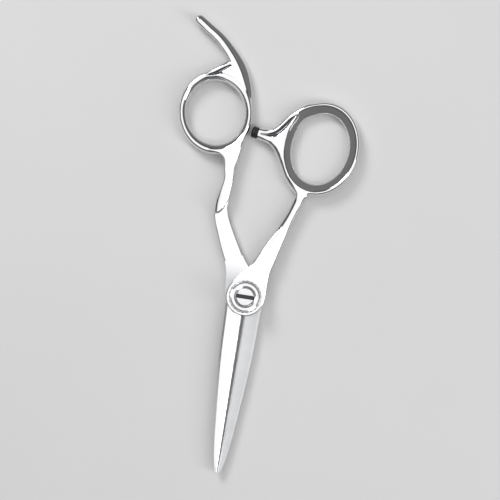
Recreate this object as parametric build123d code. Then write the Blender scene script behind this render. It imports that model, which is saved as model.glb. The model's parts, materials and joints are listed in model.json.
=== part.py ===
from build123d import *
import os
from math import cos, radians, sin

# Hair cutting shears, 5.5 inch class, lying flat: the pivot axis is +Z through the
# origin, the closed blades run along -Y, the handles along +Y and the tension dial
# faces +Z. The finger side, with the finger rest, is the rear half. The thumb side is
# the front half, and its tip swings towards -X as the shears open. Z = 0 is the rear
# face of the pivot stud's head, which the shears rest on. Sizes are in millimetres.

os.makedirs("parts", exist_ok=True)

# Driving dimensions: the stack along the pivot axis
HEAD_PROUD = 0.7  # the stud's head stands this far out of the rear blade
BLADE_T = 2.8  # each blade's thickness at the pivot
BLADE_GAP = 0.04  # oil gap between the blades' inner faces
RUN = 0.03  # radial running clearance
SEAT = 0.01  # clearance where two pieces sit face to face
BACK = HEAD_PROUD
RIDE = BACK + BLADE_T + BLADE_GAP / 2  # middle plane between the blades
FRONT = RIDE + BLADE_GAP / 2 + BLADE_T
HIGH = 20.0  # above everything, for cuts that run right through

# Driving dimensions: blades
BOSS_R = 6.8
HOLLOW = 0.035  # depth of the hollow grind, as a share of the blade's width
RIDE_LINE = 0.06  # flat land behind the cutting edge, as a share of the width
SPINE_LAND = 0.11
SHOULDER = 0.1  # where the convex outside starts, as a share of the width
EDGE_ROUND = 0.5  # rounding of the outside edges from the pivot boss to the seam
# Each station is (y, spine x, edge x, thickness) for the front blade
BLADE_STATIONS = [
    (-3.0, -6.3, 1.15, 2.6),
    (-16.0, -5.9, 1.15, 2.45),
    (-32.0, -4.9, 1.0, 2.15),
    (-46.0, -3.6, 0.8, 1.75),
    (-56.0, -2.35, 0.55, 1.35),
    (-62.0, -0.95, 0.2, 0.85),
]

# Driving dimensions: rings
HANDLE_T = 5.0  # thickness of both rings
RING_EDGE = 1.3  # rounding of the rings' edges
FINGER_RING = (-20.2, 61.7)
FINGER_HOLE = (10.2, 11.1)  # half axes of the finger hole
FINGER_OUTSIDE = (12.9, 14.6)
FINGER_TILT = 12.0  # lean of the long axis, anticlockwise
THUMB_RING = (17.8, 54.8)
THUMB_HOLE = (9.7, 12.4)
THUMB_OUTSIDE = (13.6, 16.6)
THUMB_TILT = -8.0

# Driving dimensions: shanks, finger rest and post. Each point is (x, y, width,
# centre height, thickness), and a shank's first point is its seam with the blade.
SEAM_T = RIDE + HANDLE_T / 2 - BACK
FINGER_SHANK = [
    (-6.0, 12.5, 6.6, BACK + SEAM_T / 2, SEAM_T),
    (-8.4, 17.1, 6.1, RIDE, HANDLE_T),
    (-10.6, 21.7, 5.6, RIDE, HANDLE_T),
    (-12.4, 26.0, 5.2, RIDE, HANDLE_T),
    (-13.1, 30.0, 4.7, RIDE, HANDLE_T),
    (-12.7, 34.2, 4.1, RIDE, HANDLE_T - 0.1),
    (-12.0, 39.0, 3.5, RIDE, HANDLE_T - 0.2),
    (-11.9, 43.8, 3.5, RIDE, HANDLE_T - 0.3),
    (-11.7, 48.2, 3.8, RIDE, HANDLE_T - 0.4),
    (-10.9, 52.4, 2.0, RIDE, HANDLE_T - 0.6),
]
FINGER_REST = [
    (-9.4, 66.6, 2.4, RIDE, HANDLE_T - 0.6),
    (-11.2, 72.0, 3.8, RIDE, HANDLE_T - 0.5),
    (-13.9, 77.6, 4.6, RIDE, 4.3),
    (-17.5, 82.6, 3.9, RIDE, 4.0),
    (-22.3, 87.3, 3.5, RIDE, 3.7),
    (-26.6, 90.2, 3.3, RIDE, 3.5),
    (-30.6, 93.0, 3.1, RIDE, 3.1),
]
THUMB_SHANK = [
    (4.7, 12.9, 6.4, FRONT - SEAM_T / 2, SEAM_T),
    (6.3, 17.1, 5.5, RIDE, HANDLE_T),
    (8.0, 21.5, 4.7, RIDE, HANDLE_T),
    (9.7, 26.0, 4.0, RIDE, HANDLE_T),
    (11.3, 30.4, 3.6, RIDE, HANDLE_T),
    (12.7, 34.6, 3.6, RIDE, HANDLE_T - 0.2),
    (14.0, 38.4, 3.9, RIDE, HANDLE_T - 0.4),
    (15.3, 41.4, 3.0, RIDE, HANDLE_T - 0.6),
]
POST = [
    (6.4, 55.0, 10.4, RIDE, HANDLE_T - 0.6),
    (2.9, 55.5, 6.8, RIDE, HANDLE_T - 0.6),
    (-0.6, 56.2, 4.8, RIDE, 4.2),
    (-4.4, 56.9, 4.4, RIDE, 4.0),
]
CORNER = 0.42  # corner radius of a section, as a share of its smaller side
SEAM_CORNER = EDGE_ROUND  # corner radius where a shank is welded to its blade

# Webs that fill the corners between a ring and what leaves it
WEB_T = 3.8
FINGER_WEB = [(-30.4, 69.0), (-28.3, 72.4), (-25.2, 75.1), (-18.9, 79.3), (-15.4, 78.8), (-12.0, 70.0)]
THUMB_WEB = [(0.4, 58.2), (3.4, 60.6), (6.3, 65.0), (10.6, 68.5), (12.0, 64.0), (5.0, 54.0)]
CORNER_WEB = [(8.6, 41.8), (11.6, 37.6), (13.6, 35.6), (16.4, 37.4), (20.0, 38.9), (14.0, 42.0)]

# Where each shank steps from half thickness near the pivot to its full thickness
FINGER_STEP = [(-8.4, 38.6), (-10.7, 33.0), (-12.7, 28.7), (-14.8, 27.2), (-18.4, 28.6)]
THUMB_STEP = [(8.6, 36.6), (9.9, 30.6), (10.9, 26.3), (12.5, 24.7), (15.2, 26.0)]

# Driving dimensions: rubber bumper
BUMPER_D = 4.2
BUMPER_LENGTH = 2.4
BUMPER_ROUND = 0.8
BUMPER_STEM_D = 2.0
BUMPER_STEM = 4.0

# Driving dimensions: pivot hardware
HEAD_D, HEAD_T = 9.0, 1.4
KEY_D, KEY_FLATS = 5.2, 4.2  # double-D key in the rear blade
JOURNAL_D = 4.6
THREAD_D, THREAD_FLATS = 4.0, 3.2
BUSH_D = 6.2
RACE_D, RACE_BORE, RACE_T = 10.6, 5.4, 0.26
BALL_D, BALL_COUNT, BALL_CIRCLE = 1.0, 10, 8.0
CAGE_D, CAGE_BORE, CAGE_T = 10.2, 5.8, 0.5
POCKET_D = 10.8
WASHER_D, WASHER_T = 9.0, 0.4
CLICK_D, CLICK_T, CLICK_STEPS = 8.8, 0.6, 16
SPRING_D, SPRING_BORE, SPRING_T = 8.8, 5.8, 0.25
BUMP_R = 0.24
DIAL_D, DIAL_HEIGHT, SKIRT_BORE, HUB_D = 11.4, 3.4, 9.4, 5.6
SKIRT_GAP = 0.15  # between the dial's skirt and the blade
DIAL_BEVEL = 0.5
SCALLOPS, SCALLOP_R, SCALLOP_DEPTH = 22, 0.7, 0.25
CAP_D, CAP_T, CAP_STEM_D, CAP_STEM = 6.4, 0.8, 1.9, 2.2
SLOT_W, SLOT_DEPTH = 1.2, 0.45

# Heights worked out from the stack
POCKET_DEPTH = RACE_T + BALL_D / 2 + SEAT - BLADE_GAP / 2
RACE_REACH = BALL_D / 2 + SEAT + RACE_T  # from the middle plane to a race's far face
WASHER_Z = FRONT + SEAT
CLICK_Z = WASHER_Z + WASHER_T + SEAT
CLICK_TOP = CLICK_Z + CLICK_T
SPRING_Z = CLICK_TOP + BUMP_R + SEAT
DIAL_FLOOR = SPRING_Z + SPRING_T + SEAT
DIAL_TOP = FRONT + SKIRT_GAP + DIAL_HEIGHT
CAP_SEAT = DIAL_TOP - CAP_T
STUD_TOP = CAP_SEAT - 0.05


def rod(diameter, low, high):
    """A cylinder on the pivot axis between two heights."""
    return Pos(0, 0, low) * extrude(Circle(diameter / 2), high - low)


def tube(outer, inner, low, high):
    return rod(outer, low, high) - rod(inner, low - 1, high + 1)


def keyed_rod(diameter, across_flats, low, high):
    """A double-D rod on the pivot axis between two heights."""
    return rod(diameter, low, high) & Pos(0, 0, (low + high) / 2) * Box(HIGH, across_flats, high - low)


def plate(points, low, thick):
    """A flat plate with a polygonal outline."""
    return Pos(0, 0, low) * extrude(make_face(Polyline(*points, close=True)), thick)


def around(count, radius):
    """Evenly spaced places round the pivot axis."""
    turns = [radians(360 * i / count) for i in range(count)]
    return [(radius * cos(turn), radius * sin(turn)) for turn in turns]


def save(shape, name):
    export_step(shape, f"parts/{name}.step")


def blade_section(station, inner, outward):
    """A hollow-ground section with a convex outside; outward is +1 or -1 along Z."""
    y, spine, edge, thick = station
    width = edge - spine

    def point(share, up):
        return Vector(outward * (spine + share * width), y, inner + outward * up)

    outline = [
        Line(point(0, 0), point(0, thick * 0.72)),
        Line(point(0, thick * 0.72), point(SHOULDER, thick)),
        ThreePointArc(point(SHOULDER, thick), point(0.62, thick * 0.8), point(1, 0)),
        Line(point(1, 0), point(1 - RIDE_LINE, 0)),
        ThreePointArc(point(1 - RIDE_LINE, 0), point(0.5, HOLLOW * width), point(SPINE_LAND, 0)),
        Line(point(SPINE_LAND, 0), point(0, 0)),
    ]
    return make_face(Wire(outline))


def seam_direction(shank):
    return Vector(shank[1][0] - shank[0][0], shank[1][1] - shank[0][1], 0).normalized()


def tongue(shank):
    """The outline from the pivot boss to the seam, narrowing in a gentle S on each side."""
    along = seam_direction(shank)
    across = Vector(along.Y, -along.X, 0)
    seam = Vector(*shank[0][:2], 0)
    at_boss, at_seam = across * BOSS_R, across * shank[0][2] / 2
    right = Spline(at_boss, seam + at_seam, tangents=[along, along])
    left = Spline(seam - at_seam, -at_boss, tangents=[-along, -along])
    return make_face(right + Line(seam + at_seam, seam - at_seam) + left + Line(-at_boss, at_boss))


def blade(shank, inner, outward):
    """A blade with its pivot boss and the tongue that its handle is welded to."""
    low = min(inner, inner + outward * BLADE_T)
    body = Pos(0, 0, low) * extrude(Circle(BOSS_R) + tongue(shank), BLADE_T)
    seam = Plane(origin=(*shank[0][:2], low), z_dir=seam_direction(shank))
    outside = body.edges().group_by(Axis.Z)[-1 if outward > 0 else 0]
    body = fillet([e for e in outside if abs(seam.to_local_coords(e.center()).Z) > SEAT], EDGE_ROUND)
    pocket_low = min(inner, inner + outward * POCKET_DEPTH)
    ground = loft([blade_section(s, inner, outward) for s in BLADE_STATIONS])
    return body + ground - rod(POCKET_D, pocket_low, pocket_low + POCKET_DEPTH)


def finger_blade():
    key = keyed_rod(KEY_D + 2 * RUN, KEY_FLATS + 2 * RUN, 0, RIDE)
    counterbore = rod(HEAD_D + 0.3, 0, HEAD_T + SEAT)
    return blade(FINGER_SHANK, RIDE - BLADE_GAP / 2, -1) - key - counterbore


def thumb_blade():
    return blade(THUMB_SHANK, RIDE + BLADE_GAP / 2, 1) - rod(BUSH_D, RIDE, HIGH)


def band_section(before, here, after, corner):
    """A rounded section across a band, square to its line."""
    x, y, width, height, thick = here
    along = Vector(after[0] - before[0], after[1] - before[1], 0)
    across = Plane(origin=(x, y, height), x_dir=(along.Y, -along.X, 0), z_dir=along)
    return across * RectangleRounded(width, thick, corner)


def band(points, seam_corner=None):
    """A solid through rounded sections along a curved line of points."""
    sections = []
    for i, here in enumerate(points):
        before, after = points[max(i - 1, 0)], points[min(i + 1, len(points) - 1)]
        corner = CORNER * min(here[2], here[4])
        if i == 0 and seam_corner:
            corner = seam_corner
        sections.append(band_section(before, here, after, corner))
    return loft(sections)


def ring(centre, outside, tilt):
    """A ring's outside as a filled oval disc with rounded edges."""
    disc = extrude(Ellipse(*outside), HANDLE_T)
    rims = disc.edges().group_by(Axis.Z)
    disc = fillet(rims[0] + rims[-1], RING_EDGE)
    return Pos(*centre, RIDE - HANDLE_T / 2) * Rot(0, 0, tilt) * disc


def ring_hole(centre, hole, tilt):
    """What is cut out of a ring: an oval hole that flares at both faces."""
    bore = extrude(Ellipse(*hole), HANDLE_T)
    low, high = bore.faces().group_by(Axis.Z)[0], bore.faces().group_by(Axis.Z)[-1]
    flared = Ellipse(hole[0] + RING_EDGE, hole[1] + RING_EDGE)
    low = loft([flared, Pos(0, 0, RING_EDGE) * Ellipse(*hole)])
    high = Pos(0, 0, HANDLE_T) * mirror(low, Plane.XY)
    return Pos(*centre, RIDE - HANDLE_T / 2) * Rot(0, 0, tilt) * (bore + low + high)


def relief(step, far_side, low, high):
    """The space that a shank leaves for the other half near the pivot."""
    first, last = step[0], step[-1]
    rest = Polyline(last, (last[0], 0), (far_side, 0), (far_side, first[1]), first)
    return Pos(0, 0, low) * extrude(make_face(Spline(*step) + rest), high - low)


def finger_handle():
    handle = ring(FINGER_RING, FINGER_OUTSIDE, FINGER_TILT)
    handle += band(FINGER_SHANK, SEAM_CORNER)
    handle += band(FINGER_REST)
    handle += Pos(*FINGER_REST[-1][:2], RIDE) * Sphere(FINGER_REST[-1][2] / 2)
    handle += plate(FINGER_WEB, RIDE - WEB_T / 2, WEB_T)
    handle -= relief(FINGER_STEP, 10, RIDE - BLADE_GAP / 2, HIGH)
    return handle - ring_hole(FINGER_RING, FINGER_HOLE, FINGER_TILT)


def post_frame():
    """The post's tip, with Z pointing out of it towards the finger ring."""
    tip, before = Vector(*POST[-1][:2], RIDE), Vector(*POST[-2][:2], RIDE)
    return Plane(origin=tip, x_dir=(0, 0, 1), z_dir=tip - before)


def thumb_handle():
    handle = ring(THUMB_RING, THUMB_OUTSIDE, THUMB_TILT)
    handle += band(THUMB_SHANK, SEAM_CORNER)
    handle += band(POST)
    handle += plate(THUMB_WEB, RIDE - WEB_T / 2, WEB_T)
    handle += plate(CORNER_WEB, RIDE - WEB_T / 2, WEB_T)
    handle -= relief(THUMB_STEP, -10, -HIGH, RIDE + BLADE_GAP / 2)
    handle -= ring_hole(THUMB_RING, THUMB_HOLE, THUMB_TILT)
    return handle - post_frame() * extrude(Circle(BUMPER_STEM_D / 2), -BUMPER_STEM - 0.1)


def bumper():
    """The rubber stop that meets the finger ring, with its stem in the post."""
    head = extrude(Circle(BUMPER_D / 2), BUMPER_LENGTH)
    head = fillet(head.edges().group_by(Axis.Z)[-1], BUMPER_ROUND)
    stem = extrude(Circle(BUMPER_STEM_D / 2 - SEAT), -BUMPER_STEM)
    return post_frame() * Pos(0, 0, SEAT) * (head + stem)


def pivot_stud():
    head = rod(HEAD_D, 0, HEAD_T)
    head = chamfer(head.edges().group_by(Axis.Z)[0], 0.25)
    key_top = RIDE - RACE_REACH
    stud = head + keyed_rod(KEY_D, KEY_FLATS, HEAD_T, key_top)
    stud += rod(JOURNAL_D, key_top, CLICK_Z)
    stud += keyed_rod(THREAD_D, THREAD_FLATS, CLICK_Z, STUD_TOP)
    return stud - rod(CAP_STEM_D + 2 * SEAT, STUD_TOP - CAP_STEM - 0.2, HIGH)


def pivot_bush():
    return tube(BUSH_D - 2 * SEAT, JOURNAL_D + 2 * RUN, RIDE + RACE_REACH + SEAT, FRONT)


def bearing_cage():
    cage = tube(CAGE_D, CAGE_BORE, RIDE - CAGE_T / 2, RIDE + CAGE_T / 2)
    for x, y in around(BALL_COUNT, BALL_CIRCLE / 2):
        cage -= Pos(x, y, RIDE) * Cylinder(BALL_D / 2 + RUN, CAGE_T * 2)
    return cage


def bearing_balls():
    return Compound([Pos(x, y, RIDE) * Sphere(BALL_D / 2) for x, y in around(BALL_COUNT, BALL_CIRCLE / 2)])


def click_plate():
    """A plate keyed to the stud, with notches that the click spring's bumps pass over."""
    washer = rod(CLICK_D, CLICK_Z, CLICK_TOP)
    washer -= keyed_rod(THREAD_D + 2 * RUN, THREAD_FLATS + 2 * RUN, 0, HIGH)
    notch = Pos(CLICK_D / 2, 0, CLICK_TOP) * Rot(0, 90, 0) * Cylinder(BUMP_R, CLICK_D / 2 - 1)
    for i in range(CLICK_STEPS):
        washer -= Rot(0, 0, 360 * i / CLICK_STEPS) * notch
    return washer


def click_spring():
    spring = tube(SPRING_D, SPRING_BORE, SPRING_Z, SPRING_Z + SPRING_T)
    reach = (SPRING_D + SPRING_BORE) / 4
    return spring + Pos(reach, 0, SPRING_Z) * Sphere(BUMP_R) + Pos(-reach, 0, SPRING_Z) * Sphere(BUMP_R)


def tension_dial():
    """The knurled nut on the stud's thread that sets how tightly the blades meet."""
    low = FRONT + SKIRT_GAP
    dial = rod(DIAL_D, low, DIAL_TOP)
    dial = chamfer(dial.edges().group_by(Axis.Z)[-1], DIAL_BEVEL)
    for x, y in around(SCALLOPS, DIAL_D / 2 + SCALLOP_R - SCALLOP_DEPTH):
        dial -= Pos(x, y, DIAL_TOP) * Cylinder(SCALLOP_R, HIGH)
    dial -= rod(SKIRT_BORE, 0, DIAL_FLOOR)
    dial += rod(HUB_D, CLICK_TOP + SEAT, DIAL_FLOOR)
    dial -= rod(THREAD_D + 2 * RUN, 0, HIGH)
    return dial - rod(CAP_D + 0.2, CAP_SEAT, HIGH)


def cap_screw():
    """The slotted screw in the stud's end that stops the dial from coming off."""
    top = DIAL_TOP + 0.1
    head = rod(CAP_D, CAP_SEAT + SEAT, top)
    head = fillet(head.edges().group_by(Axis.Z)[-1], 0.3)
    head -= Pos(0, 0, top) * Box(HIGH, SLOT_W, SLOT_DEPTH * 2)
    return head + rod(CAP_STEM_D, STUD_TOP - CAP_STEM, CAP_SEAT + SEAT)


save(finger_blade(), "finger_blade")
save(finger_handle(), "finger_handle")
save(thumb_blade(), "thumb_blade")
save(thumb_handle(), "thumb_handle")
save(bumper(), "bumper")
save(pivot_stud(), "pivot_stud")
save(pivot_bush(), "pivot_bush")
save(tube(RACE_D, RACE_BORE, RIDE - RACE_REACH, RIDE - RACE_REACH + RACE_T), "race_rear")
save(tube(RACE_D, RACE_BORE, RIDE + RACE_REACH - RACE_T, RIDE + RACE_REACH), "race_front")
save(bearing_cage(), "bearing_cage")
save(bearing_balls(), "bearing_balls")
save(tube(WASHER_D, JOURNAL_D + 2 * RUN, WASHER_Z, WASHER_Z + WASHER_T), "thrust_washer")
save(click_plate(), "click_plate")
save(click_spring(), "click_spring")
save(tension_dial(), "tension_dial")
save(cap_screw(), "cap_screw")
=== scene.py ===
import json
import math

import bmesh
import bpy
import numpy as np
import openvdb
from mathutils import Matrix, Vector


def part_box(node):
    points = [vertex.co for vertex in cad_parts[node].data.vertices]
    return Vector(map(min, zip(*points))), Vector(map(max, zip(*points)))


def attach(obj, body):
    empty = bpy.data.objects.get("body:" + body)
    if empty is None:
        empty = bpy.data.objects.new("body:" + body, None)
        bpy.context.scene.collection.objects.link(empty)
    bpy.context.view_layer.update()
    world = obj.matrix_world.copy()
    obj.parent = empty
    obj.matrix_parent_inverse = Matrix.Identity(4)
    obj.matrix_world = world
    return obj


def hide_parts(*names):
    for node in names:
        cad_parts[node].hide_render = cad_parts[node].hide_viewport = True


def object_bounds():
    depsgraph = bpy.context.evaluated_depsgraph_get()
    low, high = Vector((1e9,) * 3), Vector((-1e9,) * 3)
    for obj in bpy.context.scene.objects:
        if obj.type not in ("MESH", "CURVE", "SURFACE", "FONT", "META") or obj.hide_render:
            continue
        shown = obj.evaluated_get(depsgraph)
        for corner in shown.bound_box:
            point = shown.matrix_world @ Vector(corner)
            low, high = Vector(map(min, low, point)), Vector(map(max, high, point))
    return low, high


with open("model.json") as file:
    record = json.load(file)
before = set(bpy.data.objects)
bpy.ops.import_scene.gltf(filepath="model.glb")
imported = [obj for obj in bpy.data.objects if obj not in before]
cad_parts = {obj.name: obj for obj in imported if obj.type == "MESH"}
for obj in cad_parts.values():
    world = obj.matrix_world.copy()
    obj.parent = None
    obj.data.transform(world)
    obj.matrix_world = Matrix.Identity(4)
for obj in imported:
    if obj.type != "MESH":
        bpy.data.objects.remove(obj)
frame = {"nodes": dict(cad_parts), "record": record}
cad_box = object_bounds()
nodes = frame["nodes"]
mounts = {m["name"]: m["pos_m"] for m in frame["record"]["mounts"]}
centre = (cad_box[0] + cad_box[1]) / 2

MM = 0.001


def add_object(name, data):
    made = bpy.data.objects.new(name, data)
    bpy.context.scene.collection.objects.link(made)
    return made


# Camera: straight down on the shears, which lean to the right as they do in the pouch

PHOTO_ROLL = math.radians(9.0)
CAMERA_HEIGHT = 0.75
VIEW_SPAN = 0.175  # the width of floor that the picture shows


def make_camera():
    data = bpy.data.cameras.new("camera")
    data.lens = data.sensor_width * CAMERA_HEIGHT / VIEW_SPAN
    camera = add_object("camera", data)
    camera.location = (centre.x, centre.y, CAMERA_HEIGHT)
    camera.rotation_euler.z = PHOTO_ROLL
    bpy.context.scene.camera = camera


make_camera()


# Materials

class Graph:
    """A short way to write a node material."""

    def __init__(self, name):
        self.material = bpy.data.materials.new(name)
        self.material.use_nodes = True
        self.tree = self.material.node_tree
        self.shader = self.tree.nodes["Principled BSDF"]

    def add(self, kind, inputs=None, **settings):
        node = self.tree.nodes.new(kind)
        for key, value in settings.items():
            setattr(node, key, value)
        for key, value in (inputs or {}).items():
            self.set(node.inputs[key], value)
        return node

    def set(self, socket, value):
        if isinstance(value, bpy.types.NodeSocket):
            self.tree.links.new(value, socket)
        else:
            socket.default_value = value

    def place(self):
        """Where a point is on its object, whose own frame is the CAD's, in metres."""
        return self.add("ShaderNodeTexCoord").outputs["Object"]

    def part(self, vector, letter):
        """One coordinate of a vector."""
        return self.add("ShaderNodeSeparateXYZ", {0: vector}).outputs[letter]

    def upward(self):
        """The surface's lean from the vertical: 1 where it faces up and -1 where it faces down."""
        return self.part(self.add("ShaderNodeTexCoord").outputs["Normal"], "Z")

    def stretched(self, scale, turn=0.0):
        inputs = {"Vector": self.place(), "Scale": scale, "Rotation": (0, 0, turn)}
        return self.add("ShaderNodeMapping", inputs).outputs["Vector"]

    def noise(self, where, scale, detail=4.0, rough=0.6):
        inputs = {"Vector": where, "Scale": scale, "Detail": detail, "Roughness": rough}
        return self.add("ShaderNodeTexNoise", inputs).outputs["Fac"]

    def math(self, operation, first, second=0.0):
        return self.add("ShaderNodeMath", {0: first, 1: second}, operation=operation).outputs[0]

    def ramp(self, value, low, high, at_low, at_high):
        ends = {"From Min": low, "From Max": high, "To Min": at_low, "To Max": at_high}
        return self.add("ShaderNodeMapRange", {"Value": value, **ends}).outputs["Result"]

    def hazy(self, haze, rough):
        """A polish whose roughness is uneven with the haze."""
        return self.ramp(haze, 0.35, 0.7, rough * 0.75, rough * 1.5)

    def tone(self, haze, lowest, darker, share):
        """A tone between lowest and 1, uneven with the haze, less a share of darker."""
        light = self.ramp(haze, 0.3, 0.7, lowest, 1.0)
        return self.math("SUBTRACT", light, self.math("MULTIPLY", darker, share))

    def colour(self, value, low, high, first, second):
        node = self.add("ShaderNodeValToRGB", {"Fac": value})
        node.color_ramp.elements[0].position = low
        node.color_ramp.elements[0].color = (*first, 1)
        node.color_ramp.elements[1].position = high
        node.color_ramp.elements[1].color = (*second, 1)
        return node.outputs["Color"]

    def mix(self, share, first, second):
        inputs = {"Factor": share, "A": first, "B": second}
        return self.add("ShaderNodeMix", inputs).outputs["Result"]

    def bump(self, height, distance, under=None):
        inputs = {"Height": height, "Strength": 1.0, "Distance": distance}
        if under:
            inputs["Normal"] = under
        return self.add("ShaderNodeBump", inputs).outputs["Normal"]

    def finish(self, **sockets):
        for key, value in sockets.items():
            self.set(self.shader.inputs[key.replace("_", " ")], value)
        return self.material


STEEL_LIGHT = (0.79, 0.79, 0.8)
# painted shade at the bottoms of the handles' valleys
STEEL_PAINTED_SHADE = (0.1, 0.1, 0.11)
RIDE_GREY = (0.5, 0.505, 0.515)
HANDLE_ROUGH = 0.09
HAZE = 160.0  # noise scale of the polish's hazy patches
GROUND_TO = 5 * MM  # a blade is ground up to here along y
POLISHED_FROM = 11 * MM  # and polished as its handle from here


def polished_steel(name, rough):
    """Forged steel polished by hand: faint ripple, fine scratches and a few hazy patches. The
    bottoms of its valleys are darkened: painted shade."""
    g = Graph(name)
    haze = g.noise(g.place(), HAZE)
    # painted shade: the mesh's recess attribute darkens the bottoms of valleys
    recess = g.add("ShaderNodeAttribute", attribute_name="recess").outputs["Fac"]
    ripple = g.noise(g.place(), 220.0, 1.0)
    scratches = g.noise(g.stretched((2600.0, 260.0, 1200.0), 0.3), 1.0, 5.0, 0.7)
    return g.finish(
        Base_Color=g.colour(g.tone(haze, 0.9, recess, 0.85), 0.0, 1.0, STEEL_PAINTED_SHADE, STEEL_LIGHT),
        Metallic=1.0,
        Roughness=g.hazy(haze, rough),
        Normal=g.bump(scratches, 0.0012 * MM, g.bump(ripple, 0.02 * MM)),
    )


def blade_steel(name, ride_side):
    """The handles' polish as far as the pivot, then lengthwise hairlines on the outside of
    the blade, and grinding lines across the side that rides on the other blade."""
    g = Graph(name)
    ground = g.ramp(g.part(g.place(), "Y"), GROUND_TO, POLISHED_FROM, 1.0, 0.0)
    facing = g.ramp(g.math("MULTIPLY", g.upward(), ride_side), 0.9, 0.98, 0.0, 1.0)
    ride = g.math("MULTIPLY", facing, ground)
    haze = g.noise(g.place(), HAZE)
    hairlines = g.noise(g.stretched((5200.0, 70.0, 900.0)), 1.0, 5.0, 0.75)
    grinding = g.noise(g.stretched((90.0, 5200.0, 90.0), 0.35), 1.0, 5.0, 0.7)
    lines = g.mix(ride, hairlines, grinding)
    return g.finish(
        Base_Color=g.colour(g.tone(haze, 0.78, ride, 0.75), 0.0, 1.0, RIDE_GREY, STEEL_LIGHT),
        Metallic=1.0,
        Roughness=g.mix(ride, g.mix(ground, g.hazy(haze, HANDLE_ROUGH), 0.15), 0.3),
        Normal=g.bump(g.math("MULTIPLY", lines, ground), 0.004 * MM),
    )


def turned_steel(name, dark, light, rough, pitch, slot_floor=None):
    """Steel off the lathe, with rings of tool marks about the pivot axis. The bottom of a
    slot, and the first 0.4 mm of its walls, are darker: painted shade."""
    g = Graph(name)
    across = {0: g.place(), 1: (1, 1, 0)}
    flat = g.add("ShaderNodeVectorMath", across, operation="MULTIPLY").outputs[0]
    radius = g.add("ShaderNodeVectorMath", {0: flat}, operation="LENGTH").outputs["Value"]
    spaced = g.add("ShaderNodeCombineXYZ", {"X": g.math("DIVIDE", radius, pitch)}).outputs[0]
    haze = g.noise(g.place(), 400.0)
    tone = g.ramp(haze, 0.3, 0.7, 0.0, 1.0)
    if slot_floor:
        low, high = slot_floor + 0.05 * MM, slot_floor + 0.4 * MM
        # painted shade: the slot's floor and lowest walls are darker
        tone = g.tone(haze, 0.85, g.ramp(g.part(g.place(), "Z"), low, high, 1.0, 0.0), 1.0)
    return g.finish(
        Base_Color=g.colour(tone, 0.0, 1.0, dark, light),
        Metallic=1.0,
        Roughness=g.ramp(haze, 0.3, 0.7, rough * 0.8, rough * 1.3),
        Normal=g.bump(g.noise(spaced, 1.0, 3.0), 0.01 * MM),
    )


def polymer(name, dark, light, rough, grain):
    g = Graph(name)
    speckle = g.noise(g.place(), grain, 6.0)
    return g.finish(
        Base_Color=g.colour(speckle, 0.35, 0.65, dark, light),
        Roughness=g.ramp(speckle, 0.3, 0.7, rough * 0.85, rough * 1.15),
        Normal=g.bump(speckle, 0.012 * MM),
    )


FINE_TURNING = 0.06 * MM  # spacing of the tool marks
TURNING = 0.1 * MM
SLOT_DEPTH = 0.5  # of the cap screw's slot, in millimetres
slot_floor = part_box("cap_screw")[1].z - SLOT_DEPTH * MM

handle_steel = polished_steel("polished_handle_steel", HANDLE_ROUGH)
ball_steel = polished_steel("ball_steel", 0.05)
rear_blade_steel = blade_steel("rear_blade_steel", 1)
front_blade_steel = blade_steel("front_blade_steel", -1)
dial_steel = turned_steel(
    "turned_dial_steel", (0.68, 0.68, 0.69), (0.76, 0.76, 0.77), 0.14, FINE_TURNING,
)
# its near-black dark colour is the painted shade in the cap screw's slot
screw_steel = turned_steel(
    "slotted_screw_steel", (0.05, 0.05, 0.055), (0.74, 0.74, 0.75), 0.16, FINE_TURNING, slot_floor,
)
pivot_steel = turned_steel(
    "turned_pivot_steel", (0.5, 0.51, 0.53), (0.58, 0.59, 0.61), 0.26, TURNING,
)
brass = turned_steel("cage_brass", (0.66, 0.46, 0.2), (0.76, 0.56, 0.28), 0.3, TURNING)
rubber = polymer("black_rubber", (0.008, 0.008, 0.008), (0.022, 0.022, 0.022), 0.55, 3000.0)
nylon = polymer("nylon", (0.72, 0.71, 0.66), (0.8, 0.79, 0.74), 0.5, 1500.0)

CAD_FINISH = {
    "finger_blade": rear_blade_steel,
    "thumb_blade": front_blade_steel,
    "pivot_stud": pivot_steel,
    "race_rear": pivot_steel,
    "race_front": pivot_steel,
    "click_plate": pivot_steel,
    "click_spring": pivot_steel,
    "bearing_balls": ball_steel,
    "bearing_cage": brass,
    "pivot_bush": nylon,
    "thrust_washer": nylon,
}
for name, finish in CAD_FINISH.items():
    nodes[name].data.materials.clear()
    nodes[name].data.materials.append(finish)


# Shapes as distance fields, in millimetres: each function gives roughly how far places
# (x, y), at height z above the middle plane between the blades, lie outside a shape.

MIDDLE = mounts["finger_hole"][2] / MM
GAP = 0.02  # half the gap between the blades
CREST = 2.5  # half the rings' thickness
HALF_SEAM = 2.66  # half a shank's thickness where it is welded to its blade
SEAM_MIDDLE = 0.16  # how far the middle of that thickness is from the middle plane
SEAM_ROUND = 0.5  # rounding of its edges

# Across a ring's wall, crest is the share of the way out from the hole to where it is
# thickest, and land is how far in from there the slope down to the hole begins.
FINGER_RING = {
    "centre": (-20.2, 61.7), "hole": (10.2, 11.1), "outside": (12.9, 14.6), "tilt": 12.0,
    "crest": 0.55, "land": 0.45,
}
THUMB_RING = {
    "centre": (17.8, 54.8), "hole": (9.7, 12.4), "outside": (13.6, 16.6), "tilt": -8.0,
    "crest": 0.64, "land": 0.0,
}
# The slope to the thumb hole dips by depth round this angle, in degrees, where the post begins
THUMB_DIP = {"at": 132.0, "reach": 26.0, "depth": 1.1}

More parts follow.
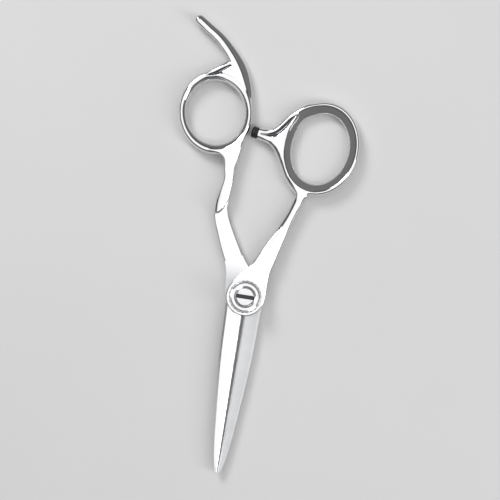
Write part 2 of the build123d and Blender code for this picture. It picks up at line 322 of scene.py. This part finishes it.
# A ridge's points: x, y, half width and half thickness. A point that isn't plain also has
# its middle's height, how square its section is (1 at the seam and 0 where it is oval), and
# where its right side's bevel starts, as a share of the half width.
NO_BEVEL = 3.0
PLAIN = (0, 0, NO_BEVEL)
FINGER_SHANK = [
    (-3.6, 7.9, 3.3, HALF_SEAM, -SEAM_MIDDLE, 1.0),
    (-6.0, 12.5, 3.3, HALF_SEAM, -SEAM_MIDDLE, 1.0),
    (-8.4, 17.1, 3.1, HALF_SEAM, -SEAM_MIDDLE, 0.9),
    (-10.6, 21.7, 2.8, 2.58, -0.08, 0.6),
    (-12.4, 26.0, 2.6, 2.5, 0, 0.5),
    (-13.1, 30.0, 2.35, 2.5, 0, 0.5),
    (-12.7, 34.2, 2.05, 2.48, 0, 0.6),
    (-12.1, 39.0, 1.75, 2.46, 0, 0.8),
    (-12.1, 43.8, 1.75, 2.44, 0, 1.0),
    (-11.8, 48.2, 1.95, 2.42, 0, 1.0),
    (-10.6, 52.8, 1.5, 2.4, 0, 0.9),
    (-9.2, 57.5, 0.9, 1.7),
]
FINGER_REST = [
    (-9.2, 57.5, 0.9, 1.7),
    (-8.9, 62.0, 0.9, 1.9, 0, 0, 1.0),
    (-9.4, 66.6, 1.3, 2.25, 0, 0.8, 0.3),
    (-11.2, 72.0, 2.0, 2.4, 0, 1.0, 0.05),
    (-13.9, 77.6, 2.3, 2.4, 0, 1.0, 0.0),
    (-17.5, 82.6, 1.95, 2.25, 0, 1.0, 0.0),
    (-22.3, 87.3, 1.8, 2.0, 0, 0.8, 0.1),
    (-26.6, 90.2, 1.75, 1.8, 0, 0.6, 0.15),
    (-30.5, 92.8, 1.7, 1.65, 0, 0.5, 0.2),
]
FINGER_BAR = [
    (-32.3, 60.0, 0.3, 1.5),
    (-31.9, 64.4, 0.7, 2.2),
    (-30.4, 68.6, 1.15, 2.42),
    (-27.8, 71.7, 1.3, 2.45),
    (-24.6, 74.5, 1.2, 2.4),
    (-20.8, 77.3, 1.15, 2.35),
    (-17.0, 80.0, 1.1, 2.2),
]
REST_WEB = [
    (-25.5, 74.2), (-20.8, 77.1), (-17.4, 79.5), (-14.2, 77.0), (-10.2, 67.0), (-14.0, 60.0),
    (-16.5, 72.2), (-19.5, 73.7), (-22.5, 74.2),
]
# A valley's points: x, y and half width
BAR_VALLEY = [
    (-25.0, 74.1, 0.2), (-23.6, 74.6, 0.5), (-21.6, 75.55, 0.75), (-19.6, 77.0, 0.8),
    (-17.8, 78.35, 0.7),
]
FINGER_CORNER = [
    (-20.5, 48.5), (-17.0, 47.7), (-15.2, 46.6), (-14.3, 44.6), (-13.7, 41.6),
    (-12.4, 42.0), (-11.0, 47.0), (-10.2, 52.0), (-12.5, 52.3), (-16.5, 50.3),
]
# Past a step, only this handle's own side of the middle plane is left
FINGER_STEP = [(-8.4, 38.6), (-10.7, 33.0), (-12.7, 28.7), (-14.8, 27.2), (-18.4, 28.6)]

THUMB_SHANK = [
    (3.1, 8.5, 3.2, HALF_SEAM, SEAM_MIDDLE, 1.0),
    (4.7, 12.9, 3.2, HALF_SEAM, SEAM_MIDDLE, 1.0),
    (6.3, 17.1, 2.75, HALF_SEAM, SEAM_MIDDLE, 0.85),
    (8.0, 21.5, 2.35, 2.58, 0.08, 0.5),
    (9.7, 26.0, 2.0, 2.5, 0, 0.2),
    (11.3, 30.4, 1.8, 2.5),
    (12.7, 34.6, 1.75, 2.46, 0, 0.2),
    (13.8, 37.8, 1.6, 2.42, 0, 1.0),
]
POST_UPPER = [
    (-4.2, 57.8, 1.1, 1.9),
    (-1.6, 57.7, 1.15, 2.05),
    (0.8, 58.2, 1.2, 2.35),
    (3.3, 60.5, 1.25, 2.45),
    (6.6, 64.8, 1.3, 2.45),
    (10.8, 68.2, 1.3, 2.42),
    (14.3, 69.6, 0.9, 2.25),
    (17.6, 70.2, 0.5, 1.8),
]
POST_LOWER = [
    (-4.2, 56.1, 1.1, 1.9),
    (-1.0, 55.3, 1.2, 2.05),
    (1.6, 54.2, 1.5, 2.35),
    (4.0, 51.6, 1.6, 2.42),
    (5.9, 47.9, 1.4, 2.4),
    (8.4, 43.2, 1.3, 2.38),
    (11.8, 39.4, 1.3, 2.3),
]
POST_TIP = [
    (-4.4, 56.9, 2.1, 2.0),
    (-2.6, 56.64, 2.0, 2.05, 0, 0.3),
    (-0.8, 56.5, 2.1, 2.2, 0, 0.7),
    (1.0, 56.6, 2.2, 2.4, 0, 0.9),
]
POST_VALLEY = [
    (-3.4, 56.75, 0.5), (-1.2, 56.8, 0.75), (0.8, 57.15, 0.9), (2.8, 58.5, 0.95),
    (4.6, 60.7, 0.95), (6.2, 63.1, 0.7), (7.6, 64.9, 0.2),
]
POST_WEB = [
    (0.4, 56.2), (0.9, 58.2), (3.3, 60.6), (6.6, 64.8), (8.6, 66.2), (8.4, 63.6), (6.8, 60.6),
    (5.9, 56.0), (5.5, 52.0), (5.7, 49.0), (4.4, 50.2), (1.6, 54.2),
]
THUMB_CORNER = [
    (8.0, 43.6), (11.4, 39.1), (12.9, 37.2), (14.6, 37.2), (16.4, 38.6), (19.2, 39.6), (14.0, 43.0),
]
THUMB_STEP = [(8.6, 36.6), (9.9, 30.6), (10.9, 26.3), (12.5, 24.7), (15.2, 26.0)]


def smooth_line(points, spans=6):
    """A Catmull-Rom line through points, with every column carried along."""
    p = np.array(points, float)
    p = np.vstack([2 * p[0] - p[1], p, 2 * p[-1] - p[-2]])
    t = np.linspace(0, 1, spans, endpoint=False)[:, None]
    parts = []
    for a, b, c, d in zip(p, p[1:], p[2:], p[3:]):
        bend = (2 * a - 5 * b + 4 * c - d) * t**2 + (3 * b - a - 3 * c + d) * t**3
        parts.append(b + ((c - a) * t + bend) / 2)
    return np.vstack([*parts, p[-2:-1]])


def nearest_on(line, x, y):
    """How far places are from a line, 1 or -1 to its right or left, and its other columns there."""
    gap = np.full(x.shape, np.inf)
    side = np.ones(x.shape)
    carried = np.zeros((line.shape[1] - 2, *x.shape))
    for a, b in zip(line, line[1:]):
        dx, dy = b[:2] - a[:2]
        t = np.clip(((x - a[0]) * dx + (y - a[1]) * dy) / (dx * dx + dy * dy), 0, 1)
        here = np.hypot(x - a[0] - t * dx, y - a[1] - t * dy)
        closer = here < gap
        gap = np.where(closer, here, gap)
        side = np.where(closer, np.sign((x - a[0]) * dy - (y - a[1]) * dx), side)
        for i, column in enumerate(carried):
            carried[i] = np.where(closer, a[i + 2] + t * (b[i + 2] - a[i + 2]), column)
    return gap, side, carried


def oval(across, up, half_width, half_height, power=2.15):
    """Distance outside a superellipse section."""
    u, v = np.abs(across) / half_width, np.abs(up) / half_height
    f = np.maximum((u**power + v**power) ** (1 / power), 1e-4)
    slope = np.hypot(u ** (power - 1) / half_width, v ** (power - 1) / half_height)
    slope = np.maximum(slope * f ** (1 - power), 1e-3)
    return np.maximum((f - 1) / slope, -np.minimum(half_width, half_height))


def rounded(a, b, edge):
    """Distance from where two distances meet at a square corner, with the corner rounded."""
    a, b = a + edge, b + edge
    return np.minimum(np.maximum(a, b), 0) + np.hypot(np.maximum(a, 0), np.maximum(b, 0)) - edge


def join(a, b, blend):
    """The union of two shapes, with a fillet."""
    h = np.maximum(blend - np.abs(a - b), 0) / blend
    return np.minimum(a, b) - h * h * blend / 4


def overlap(a, b, blend):
    """What two shapes share, with a rounded edge where they meet."""
    return -join(-a, -b, blend)


# How round shapes are where they meet, in millimetres
SHANK_FILLET = 0.6  # between a ring and its shank
REST_FILLET = 0.4  # between a ring and its finger rest or post
BAR_FILLET = 0.3  # between two bars
WEB_FILLET = 1.2  # in plan, between a bar and its web
POST_WEB_FILLET = 0.2  # between the post's bars and the web that they share
CREST_EDGE = 0.5  # along a ring's crest
REST_EDGE = 0.6  # where the finger rest ends at the finger hole
BEVEL_EDGE = 0.3
VALLEY_EDGE = 0.2
STEP_CORNER = 0.3  # where a step meets the middle plane
STEP_EDGE = 0.4  # round the step itself

BEVEL_LEAN = math.radians(39)  # how far a bevel's face leans from the flat


def past_bevel(out, up):
    """Distance past a bevel's face, from how far out and up a place is from its top."""
    return out * math.sin(BEVEL_LEAN) + up * math.cos(BEVEL_LEAN)


def ridge(points, x, y, z, web=None):
    """A bar along a line. A web joins its square sections in plan, so that their tops are one.
    Its section goes from oval to square, and a bevel may cut its right side."""
    line = smooth_line([(*p, *PLAIN[len(p) - 4:]) for p in points])
    gap, side, (half_width, half_height, middle, square, bevel) = nearest_on(line, x, y)
    up = np.abs(z - middle)
    soft = oval(gap, up, half_width, half_height)
    plan = gap - half_width if web is None else join(gap - half_width, web, WEB_FILLET)
    hard = rounded(plan, up - half_height, SEAM_ROUND)
    shape = soft + (hard - soft) * np.clip(square, 0, 1)
    return overlap(shape, past_bevel(side * gap - bevel * half_width, up - half_height), BEVEL_EDGE)


def ellipse_gap(u, v, half):
    """Distance outside an ellipse about the origin with these half axes."""
    k = np.maximum(np.hypot(u / half[0], v / half[1]), 1e-3)
    return k * (k - 1) / np.maximum(np.hypot(u / half[0] ** 2, v / half[1] ** 2), 1e-4)


def ring_walls(x, y, shape):
    """Distances out from a ring's hole and across its wall from the crest, and the wall's width."""
    dx, dy = x - shape["centre"][0], y - shape["centre"][1]
    c, s = math.cos(math.radians(shape["tilt"])), math.sin(math.radians(shape["tilt"]))
    u, v = dx * c + dy * s, dy * c - dx * s
    inner = ellipse_gap(u, v, shape["hole"])
    wall = inner - ellipse_gap(u, v, shape["outside"])
    return inner, inner - shape["crest"] * wall, wall


def bore_slope(x, y, z, shape, dip=None):
    """The long slope from a ring's crest down to its hole, which a dip lowers on one side."""
    _, across, _ = ring_walls(x, y, shape)
    height = CREST
    if dip:
        turn = np.degrees(np.arctan2(y - shape["centre"][1], x - shape["centre"][0]))
        height = CREST - dip["depth"] * np.exp(-(((turn - dip["at"]) / dip["reach"]) ** 2))
    return past_bevel(-(across + shape["land"]), np.abs(z) - height)


RING_SQUARENESS = 2.7  # the power of its superellipse section
BORE_FREEDOM = 0.35  # how much a joined shape may stand proud of a ring's slope at its crest


def ring(x, y, z, shape, dip=None):
    """An oval ring with a crest part way across its wall and a long slope down to its hole."""
    _, across, wall = ring_walls(x, y, shape)
    half = np.where(across < 0, shape["crest"], 1 - shape["crest"]) * wall
    section = oval(across, z, half, CREST, RING_SQUARENESS)
    return overlap(section, bore_slope(x, y, z, shape, dip), CREST_EDGE)


def keep_bore(body, bare, x, y, shape):
    """The body with the ring's own surface round its hole, and nothing added inside it."""
    inner, across, wall = ring_walls(x, y, shape)
    freedom = BORE_FREEDOM * inner / (shape["crest"] * wall)
    return np.where(across < 0, np.maximum(body, bare - freedom), body)


def polygon_gap(outline, x, y):
    """Distance outside a polygon in plan, negative inside it."""
    p = np.array(outline, float)
    gap = np.full(x.shape, np.inf)
    inside = np.zeros(x.shape, bool)
    for a, b in zip(p, np.roll(p, -1, 0)):
        step = b - a
        t = np.clip(((x - a[0]) * step[0] + (y - a[1]) * step[1]) / (step @ step), 0, 1)
        gap = np.minimum(gap, np.hypot(x - a[0] - t * step[0], y - a[1] - t * step[1]))
        crosses = (a[1] > y) != (b[1] > y)
        at = a[0] + (y - a[1]) * step[0] / (step[1] if step[1] else 1e-9)
        inside ^= crosses & (x < at)
    return np.where(inside, -gap, gap)


def soft_outline(points):
    """A smooth closed outline through points."""
    return smooth_line([(*p, 0) for p in [*points, points[0]]])[:-1, :2]


VALLEY_LEAN = math.radians(35)  # how far a valley's sides lean from the flat
VALLEY_ROUND = 0.08  # how round its bottom is


def valley(line, top, x, y, z):
    """What a V-shaped valley cut from both faces leaves, with its half width along its line."""
    gap, _, (half_width,) = nearest_on(smooth_line(line), x, y)
    depth = (half_width - np.hypot(gap, VALLEY_ROUND)) * math.tan(VALLEY_LEAN)
    return (np.abs(z) - top + depth) * math.cos(VALLEY_LEAN)


STEP_REACH = 14  # a step's cut goes this far past the shears' centre line


def stepped(shape, step, facing, x, y, z):
    """The shape without what lies past the middle plane on the pivot's side of a step."""
    line = smooth_line([(*p, 0) for p in step])[:, :2]
    far_side = facing * STEP_REACH
    corners = [(line[-1][0], 0), (far_side, 0), (far_side, line[0][1])]
    relief = overlap(polygon_gap([*line, *corners], x, y), -GAP - facing * z, STEP_CORNER)
    return rounded(shape, -relief, STEP_EDGE)


BAR_TOP = 2.4  # half the thickness beside the finger bar's valley
POST_TOP = 2.42  # and beside the post's
REST_CLEAR = 0.75  # how far the finger rest stays from the finger hole


def ring_and_shank(bare, walls, points, outline, x, y, z):
    """A bare ring joined to its shank, with a web in the corner between them."""
    _, across, _ = walls
    corner = polygon_gap(soft_outline(outline), x, y)
    shank = overlap(ridge(points, x, y, z, corner), -across, CREST_EDGE)
    return join(bare, shank, SHANK_FILLET)


def finger_half(x, y, z):
    bare = ring(x, y, z, FINGER_RING)
    walls = ring_walls(x, y, FINGER_RING)
    shape = ring_and_shank(bare, walls, FINGER_SHANK, FINGER_CORNER, x, y, z)
    rest = ridge(FINGER_REST, x, y, z, polygon_gap(REST_WEB, x, y))
    shape = join(shape, overlap(rest, REST_CLEAR - walls[0], REST_EDGE), REST_FILLET)
    shape = join(shape, ridge(FINGER_BAR, x, y, z), BAR_FILLET)
    shape = overlap(shape, valley(BAR_VALLEY, BAR_TOP, x, y, z), VALLEY_EDGE)
    shape = keep_bore(shape, bare, x, y, FINGER_RING)
    return stepped(shape, FINGER_STEP, 1, x, y, z)


def thumb_half(x, y, z):
    bare = ring(x, y, z, THUMB_RING, THUMB_DIP)
    walls = ring_walls(x, y, THUMB_RING)
    shape = ring_and_shank(bare, walls, THUMB_SHANK, THUMB_CORNER, x, y, z)
    plan = polygon_gap(soft_outline(POST_WEB), x, y)
    web = overlap(rounded(plan, np.abs(z) - POST_TOP, SEAM_ROUND), -walls[1], CREST_EDGE)
    post = join(ridge(POST_UPPER, x, y, z), ridge(POST_LOWER, x, y, z), BAR_FILLET)
    post = join(post, ridge(POST_TIP, x, y, z), BAR_FILLET)
    post = join(post, web, POST_WEB_FILLET)
    slope = bore_slope(x, y, z, THUMB_RING, THUMB_DIP)
    shape = overlap(join(shape, post, REST_FILLET), slope, BEVEL_EDGE)
    shape = overlap(shape, valley(POST_VALLEY, POST_TOP, x, y, z), VALLEY_EDGE)
    shape = keep_bore(shape, bare, x, y, THUMB_RING)
    return stepped(shape, THUMB_STEP, -1, x, y, z)


SETTLE_ROUNDS = 2
VALLEY_SHADE_FADE = 1.3  # painted shade: a recess is full dark within 0.3 / 1.3 of its half width


def carved(name, field, low, high, step, cuts=(), recess=None):
    """A mesh of a distance field between two corners, cut flat by planes (point, normal). It
    marks how deep its points are in the valley of a recess line, which the material darkens as
    painted shade."""
    axes = [np.arange(a, b + step, step) for a, b in zip(low, high)]
    x, y = np.meshgrid(axes[0], axes[1], indexing="ij")
    band = 3 * step
    gap = field(x[..., None], y[..., None], axes[2][None, None, :])
    grid = openvdb.FloatGrid(background=band)
    grid.copyFromArray(np.clip(gap, -band, band).astype(np.float32))
    points, quads = grid.convertToQuads(isovalue=0.0)
    points = points.astype(float) * step + np.array(low)
    for _ in range(SETTLE_ROUNDS):
        points = settle(points, field, step / 4)
    mesh = bpy.data.meshes.new(name)
    mesh.from_pydata(((points + (0, 0, MIDDLE)) * MM).tolist(), [], quads[:, ::-1].tolist())
    mesh.polygons.foreach_set("use_smooth", [True] * len(mesh.polygons))
    # painted shade: how far into a recess line's valley each point lies, for the material to darken
    if recess:
        aside, _, (half_width,) = nearest_on(smooth_line(recess), points[:, 0], points[:, 1])
        depth = np.clip(VALLEY_SHADE_FADE - VALLEY_SHADE_FADE * aside / half_width, 0, 1)
        mesh.attributes.new("recess", "FLOAT", "POINT").data.foreach_set("value", depth)
    for point, normal in cuts:
        cut_flat(mesh, point * MM, normal)
    return add_object(name, mesh)


LEAST_SLOPE = 0.2  # squared


def settle(points, field, limit, reach=0.01):
    """Moves points towards the field's surface, by about a limit at most. Its slope is found
    from places that are reach apart."""
    x, y, z = points.T
    here = field(x, y, z)
    slope = np.stack([field(x + reach, y, z), field(x, y + reach, z), field(x, y, z + reach)])
    slope = (slope - here) / reach
    size = np.maximum((slope**2).sum(0), LEAST_SLOPE)
    return points - np.clip(here / size, -limit, limit)[:, None] * slope.T


def cut_flat(mesh, point, normal):
    """Cuts off what lies past a plane, and closes the end with sharp edges."""
    work = bmesh.new()
    work.from_mesh(mesh)
    everything = work.verts[:] + work.edges[:] + work.faces[:]
    cut = bmesh.ops.bisect_plane(
        work, geom=everything, plane_co=point, plane_no=normal, clear_outer=True,
    )
    rim = [e for e in cut["geom_cut"] if isinstance(e, bmesh.types.BMEdge)]
    bmesh.ops.edgeloop_fill(work, edges=rim)
    for edge in rim:
        edge.smooth = False
    work.to_mesh(mesh)
    work.free()


def end_plane(line, at):
    """A point and outward normal of the plane across a line at one of its first points."""
    here, after = (Vector(line[i][:2]).to_3d() for i in (at, at + 1))
    return here, (here - after).normalized()


def stand_for(piece, node, body, finish):
    """Gives a piece its finish, and puts it in a CAD node's place."""
    piece.data.materials.append(finish)
    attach(piece, body)
    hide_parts(node)


HANDLE_STEP = 0.2
SEAM_AT = 1  # the point of a shank's line where it is welded to its blade
FINGER_SPACE = (-35, 7, -3.2), (0, 96, 3.2)
THUMB_SPACE = (-8, 7, -3.2), (33, 73, 3.2)
finger = carved(
    "finger_handle_forging", finger_half, *FINGER_SPACE, HANDLE_STEP,
    [end_plane(FINGER_SHANK, SEAM_AT)], BAR_VALLEY,
)
stand_for(finger, "finger_handle", "finger_side", handle_steel)
thumb = carved(
    "thumb_handle_forging", thumb_half, *THUMB_SPACE, HANDLE_STEP,
    [end_plane(THUMB_SHANK, SEAM_AT), end_plane(POST_TIP, 0)], POST_VALLEY,
)
stand_for(thumb, "thumb_handle", "thumb_side", handle_steel)


# Tension dial and cap screw

SCALLOPS = 22
SCALLOP_R = 0.7
SCALLOP_DEPTH = 0.25
DIAL_R = 5.7
DIAL_BEVEL = 0.5
DIAL_BEVEL_EDGE = 0.15
DISH = 0.28  # how far the dial's face is turned down between its rims
RECESS_R = 3.3  # of the recess round the cap screw's head
BORE_R = 2.03
SKIRT_R = 4.7  # of the skirt's inside
HUB_R = 2.8
HOLLOW_EDGE = 0.1
SKIRT_FLOOR = 1.38  # height of the skirt's inside above its rim
HUB_FOOT = 0.88  # height of the hub's end above the skirt's rim
CAP_DEPTH = 0.8  # how deep in the dial the cap screw's head sits
SLOT_W = 1.2
STEM_R = 0.95
STEM_TOP = 0.2  # how far below the slot's floor the stem ends
DOME = 0.16  # how far the head's face falls to its rim
HEAD_LIFT = 0.01  # keeps the head off its seat
HEAD_ROUND = 0.3
SCREW_REACH = 3.5  # half the width of the space that the screw is carved in
EDGE_ROUND = 0.12
DIAL_STEP = 0.1
MARGIN = 0.3  # of the space carved above and below a round piece


def node_cylinder(node):
    """A round node's radius, and its ends' heights above the middle plane, in millimetres."""
    low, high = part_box(node)
    return (high.x - low.x) / 2 / MM, low.z / MM - MIDDLE, high.z / MM - MIDDLE


_, DIAL_FOOT, DIAL_TOP = node_cylinder("tension_dial")
SCREW_R, SCREW_FOOT, SCREW_TOP = node_cylinder("cap_screw")
CAP_SEAT = DIAL_TOP - CAP_DEPTH


def scalloped(x, y):
    """Distance outside the dial's scalloped rim in plan."""
    r, turn = np.hypot(x, y), np.arctan2(y, x)
    pitch = 2 * math.pi / SCALLOPS
    turn = (turn + pitch / 2) % pitch - pitch / 2
    out = r * np.cos(turn) - DIAL_R - SCALLOP_R + SCALLOP_DEPTH
    scallop = np.hypot(out, r * np.sin(turn)) - SCALLOP_R
    return overlap(r - DIAL_R, -scallop, EDGE_ROUND)


def dial_shape(x, y, z):
    r = np.hypot(x, y)
    middle, half = (DIAL_R - DIAL_BEVEL + RECESS_R) / 2, (DIAL_R - DIAL_BEVEL - RECESS_R) / 2
    dish = DISH * np.clip(1 - ((r - middle) / half) ** 2, 0, 1)
    body = rounded(scalloped(x, y), z - DIAL_TOP + dish, EDGE_ROUND)
    bevel = (r - DIAL_R + z - DIAL_TOP + DIAL_BEVEL) / math.sqrt(2)
    body = overlap(np.maximum(body, DIAL_FOOT - z), bevel, DIAL_BEVEL_EDGE)
    recess = np.maximum(r - RECESS_R, CAP_SEAT - z)
    skirt = np.maximum(r - SKIRT_R, z - DIAL_FOOT - HUB_FOOT)
    middle, half = (SKIRT_R + HUB_R) / 2, (SKIRT_R - HUB_R) / 2
    collar = np.maximum(np.abs(r - middle) - half, z - DIAL_FOOT - SKIRT_FLOOR)
    hollow = np.minimum(np.minimum(recess, r - BORE_R), np.minimum(skirt, collar))
    return overlap(body, -hollow, HOLLOW_EDGE)


def screw_shape(x, y, z):
    r = np.hypot(x, y)
    dome = DOME * (r / SCREW_R) ** 2
    head = rounded(r - SCREW_R, z - SCREW_TOP + dome, HEAD_ROUND)
    head = np.maximum(head, CAP_SEAT + HEAD_LIFT - z)
    slot = np.maximum(np.abs(y) - SLOT_W / 2, SCREW_TOP - SLOT_DEPTH - z)
    head = overlap(head, -slot, EDGE_ROUND)
    ends = np.maximum(z - SCREW_TOP + SLOT_DEPTH + STEM_TOP, SCREW_FOOT - z)
    return np.minimum(head, np.maximum(r - STEM_R, ends))


def carved_round(name, field, reach, foot, top):
    low, high = (-reach, -reach, foot - MARGIN), (reach, reach, top + MARGIN)
    return carved(name, field, low, high, DIAL_STEP)


dial_reach = DIAL_R + 2 * DIAL_STEP
dial = carved_round("tension_dial_knurled", dial_shape, dial_reach, DIAL_FOOT, DIAL_TOP)
stand_for(dial, "tension_dial", "dial", dial_steel)
screw = carved_round("cap_screw_slotted", screw_shape, SCREW_REACH, SCREW_FOOT, SCREW_TOP)
stand_for(screw, "cap_screw", "finger_side", screw_steel)


# Bumper

# Radius and height of points on its half section, in millimetres, from end to end
BUMPER_PROFILE = [
    (0.0, 0.0), (1.6, 0.0), (1.95, 0.1), (2.08, 0.35), (2.02, 0.6), (1.82, 0.78), (1.82, 0.95),
    (2.02, 1.12), (2.06, 1.45), (1.98, 1.85), (1.72, 2.15), (1.3, 2.32), (0.7, 2.39), (0.0, 2.4),
]
BUMPER_SIDES = 48


def turned(profile, sides):
    """The points and faces of a profile turned about z. Its ends are on the axis."""
    points, rows = [], []
    for r, height in profile:
        turns = [0.0] if r == 0 else [2 * math.pi * i / sides for i in range(sides)]
        first = len(points)
        points += [(r * math.cos(a), r * math.sin(a), height) for a in turns]
        rows.append([first + i % len(turns) for i in range(sides + 1)])
    faces = []
    for low, high in zip(rows, rows[1:]):
        for corner in zip(low, low[1:], high[1:], high):
            faces.append(list(dict.fromkeys(corner)))
    return points, faces


def make_bumper():
    """A turned rubber stop: a domed head with a groove and a rolled foot."""
    tip, out = end_plane(POST_TIP, 0)
    tip = (tip + Vector((0, 0, MIDDLE))) * MM
    points, faces = turned(BUMPER_PROFILE, BUMPER_SIDES)
    mesh = bpy.data.meshes.new("bumper_rubber")
    mesh.from_pydata(points, [], faces)
    turn = out.to_track_quat("Z", "Y").to_matrix().to_4x4()
    mesh.transform(Matrix.Translation(tip) @ turn @ Matrix.Scale(MM, 4))
    mesh.polygons.foreach_set("use_smooth", [True] * len(mesh.polygons))
    piece = add_object("bumper_rubber", mesh)
    piece.modifiers.new("smooth", "SUBSURF").levels = 1
    stand_for(piece, "bumper", "thumb_side", rubber)


make_bumper()


# Floor and studio light

FLOOR_HALF = 1.5
FLOOR_DROP = 0.02 * MM  # how far the floor is below the shears, so that the two don't touch


def make_floor():
    mesh = bpy.data.meshes.new("floor")
    corners = [(-1, -1), (1, -1), (1, 1), (-1, 1)]
    mesh.from_pydata([(x * FLOOR_HALF, y * FLOOR_HALF, 0) for x, y in corners], [], [(0, 1, 2, 3)])
    floor = add_object("floor", mesh)
    floor.location.z = -FLOOR_DROP
    g = Graph("pale_floor")
    cloud = g.noise(g.place(), 6.0)
    tone = g.colour(cloud, 0.3, 0.7, (0.76, 0.76, 0.76), (0.79, 0.79, 0.79))
    mesh.materials.append(g.finish(Base_Color=tone, Roughness=0.85))


def softbox(name, place, size, watts):
    """A rectangular light that faces the shears' centre."""
    data = bpy.data.lights.new(name, "AREA")
    data.shape = "RECTANGLE"
    data.size, data.size_y = size
    data.energy = watts
    lamp = add_object(name, data)
    lamp.location = place
    lamp.rotation_mode = "QUATERNION"
    lamp.rotation_quaternion = (Vector(place) - centre).to_track_quat("Z", "Y")


# The studio's brightness by how high up it is: 0 is straight down, 1 straight up
STUDIO = [
    (0.0, 0.1), (0.5, 0.22), (0.7, 0.18), (0.8, 0.08), (0.905, 0.07), (0.94, 1.2), (1.0, 1.35),
]


def make_world():
    """A bright overhead above a dark band, which draws the edges of polished steel."""
    world = bpy.data.worlds.new("studio")
    world.use_nodes = True
    tree = world.node_tree
    coords = tree.nodes.new("ShaderNodeTexCoord")
    split = tree.nodes.new("ShaderNodeSeparateXYZ")
    height = tree.nodes.new("ShaderNodeMapRange")
    ramp = tree.nodes.new("ShaderNodeValToRGB")
    tree.links.new(coords.outputs["Generated"], split.inputs[0])
    tree.links.new(split.outputs["Z"], height.inputs["Value"])
    height.inputs["From Min"].default_value = -1
    tree.links.new(height.outputs["Result"], ramp.inputs["Fac"])
    tree.links.new(ramp.outputs["Color"], tree.nodes["Background"].inputs["Color"])
    ramp.color_ramp.elements.remove(ramp.color_ramp.elements[1])
    for at, grey in STUDIO:
        stop = ramp.color_ramp.elements[0] if at == 0 else ramp.color_ramp.elements.new(at)
        stop.color = (grey, grey, grey, 1)
    bpy.context.scene.world = world


make_floor()
make_world()
bpy.context.scene.view_settings.view_transform = "Standard"
softbox("key", (centre.x - 0.4, centre.y + 0.45, 0.6), (0.3, 0.3), 2.8)
softbox("fill", (centre.x + 0.5, centre.y - 0.1, 0.5), (0.2, 0.5), 1.3)
